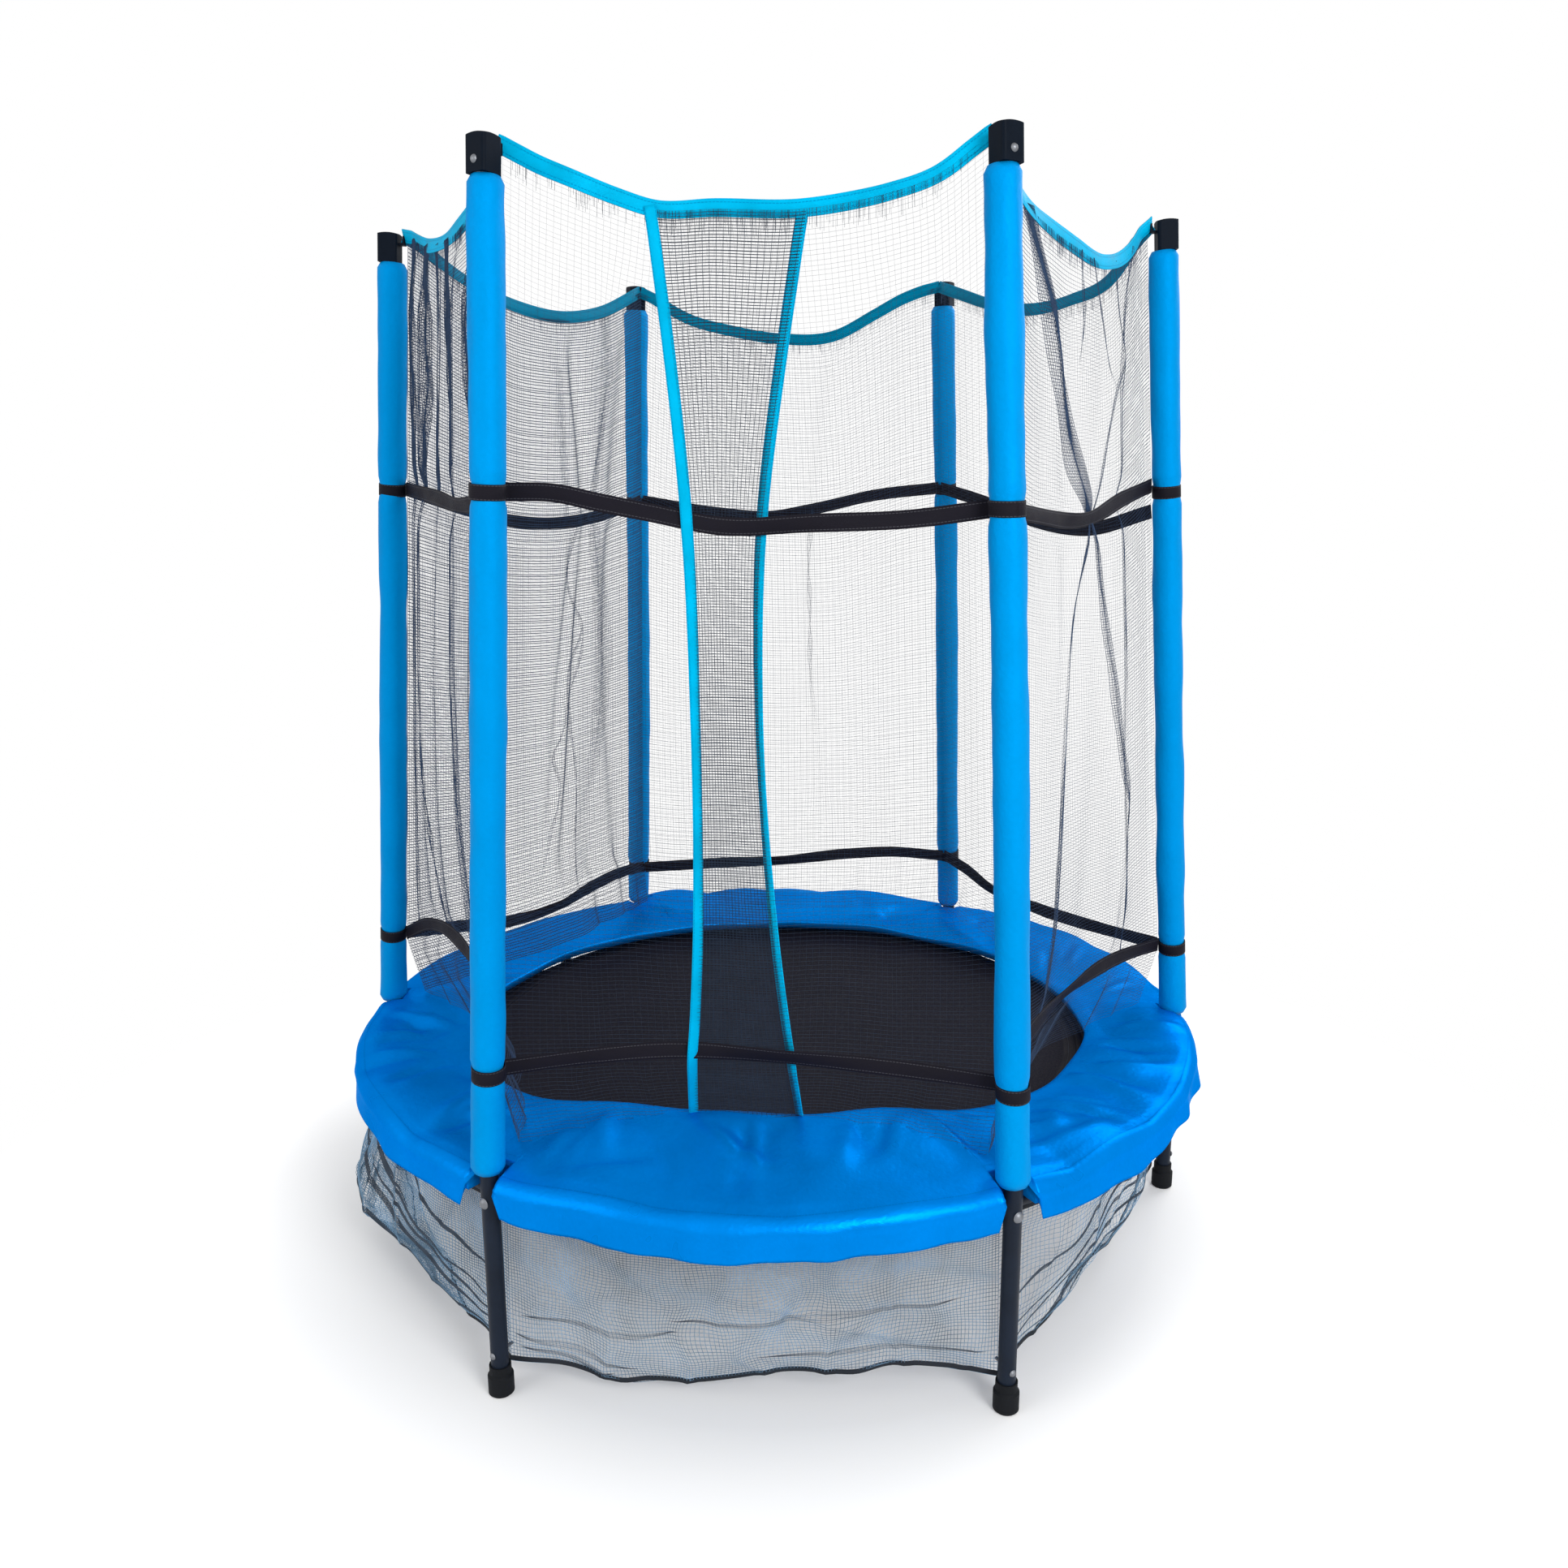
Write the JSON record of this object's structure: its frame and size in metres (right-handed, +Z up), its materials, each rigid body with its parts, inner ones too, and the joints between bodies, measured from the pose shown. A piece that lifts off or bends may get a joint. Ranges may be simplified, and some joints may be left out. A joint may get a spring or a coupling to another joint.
{
  "type": "trampoline with safety net",
  "caption": "Round children's trampoline: sprung mat in a steel ring on legs, padded spring cover, leaning padded poles and a net enclosure with a lapped door.",
  "frame": {"origin": "on the floor, below the centre of the mat", "axes": "+Z up; -Y towards the door in the net; +X towards an upright"},
  "size_m": [1.4452, 1.4416, 1.6413],
  "materials": {
    "frame_paint": "satin dark powder coat on steel tube",
    "pole_steel": "galvanised steel tube",
    "sleeve_foam": "azure closed-cell foam sleeve with a smooth skin",
    "cap_plastic": "black moulded plastic",
    "net_mesh": "fine dark knitted netting",
    "lower_mesh": "dark grey knitted netting with a plain hem",
    "foot_rubber": "black moulded rubber",
    "zinc": "bright zinc plate",
    "mat_fabric": "charcoal woven polypropylene",
    "webbing": "black woven webbing",
    "pad_vinyl": "glossy blue coated fabric with soft creases",
    "pad_filling": "white closed-cell foam",
    "binding": "cyan-blue woven binding tape"
  },
  "bodies": {
    "frame": {"ring_tube_1": "frame_paint", "ring_tube_2": "frame_paint", "ring_tube_3": "frame_paint", "ring_tube_4": "frame_paint", "ring_tube_5": "frame_paint", "ring_tube_6": "frame_paint", "leg_1": "frame_paint", "leg_2": "frame_paint", "leg_3": "frame_paint", "leg_4": "frame_paint", "leg_5": "frame_paint", "leg_6": "frame_paint", "pole_1": "pole_steel", "pole_2": "pole_steel", "pole_3": "pole_steel", "pole_4": "pole_steel", "pole_5": "pole_steel", "pole_6": "pole_steel", "foam_sleeve_1": "sleeve_foam", "foam_sleeve_2": "sleeve_foam", "foam_sleeve_3": "sleeve_foam", "foam_sleeve_4": "sleeve_foam", "foam_sleeve_5": "sleeve_foam", "foam_sleeve_6": "sleeve_foam", "pole_cap_1": "cap_plastic", "pole_cap_2": "cap_plastic", "pole_cap_3": "cap_plastic", "pole_cap_4": "cap_plastic", "pole_cap_5": "cap_plastic", "pole_cap_6": "cap_plastic", "net_panel_1": "net_mesh", "net_panel_2": "net_mesh", "net_panel_3": "net_mesh", "net_panel_4": "net_mesh", "net_panel_5": "net_mesh", "door_flap_left": "net_mesh", "door_flap_right": "net_mesh", "rubber_feet": "foot_rubber", "saddle_spacers": "cap_plastic", "frame_bolts": "zinc", "frame_nuts": "zinc", "cap_screws": "zinc", "net_screws": "zinc", "springs": "zinc", "pad_cover": "pad_vinyl", "pad_foam": "pad_filling", "door_tapes": "binding", "top_hem": "binding", "upper_strap": "webbing", "lower_strap": "webbing", "lower_net": "lower_mesh", "lower_hem": "lower_mesh"},
    "mat": {"jump_mat": "mat_fabric", "mat_tabs": "webbing", "mat_rings": "zinc"}
  },
  "joints": [
    {"name": "mat_bounce", "type": "slide", "parent": "frame", "child": "mat", "axis": [0, 0, 1], "range_m": [-0.12, 0], "stiffness_N_per_m": 3500, "springref_m": 0.01, "deforming": ["springs"]}
  ]
}
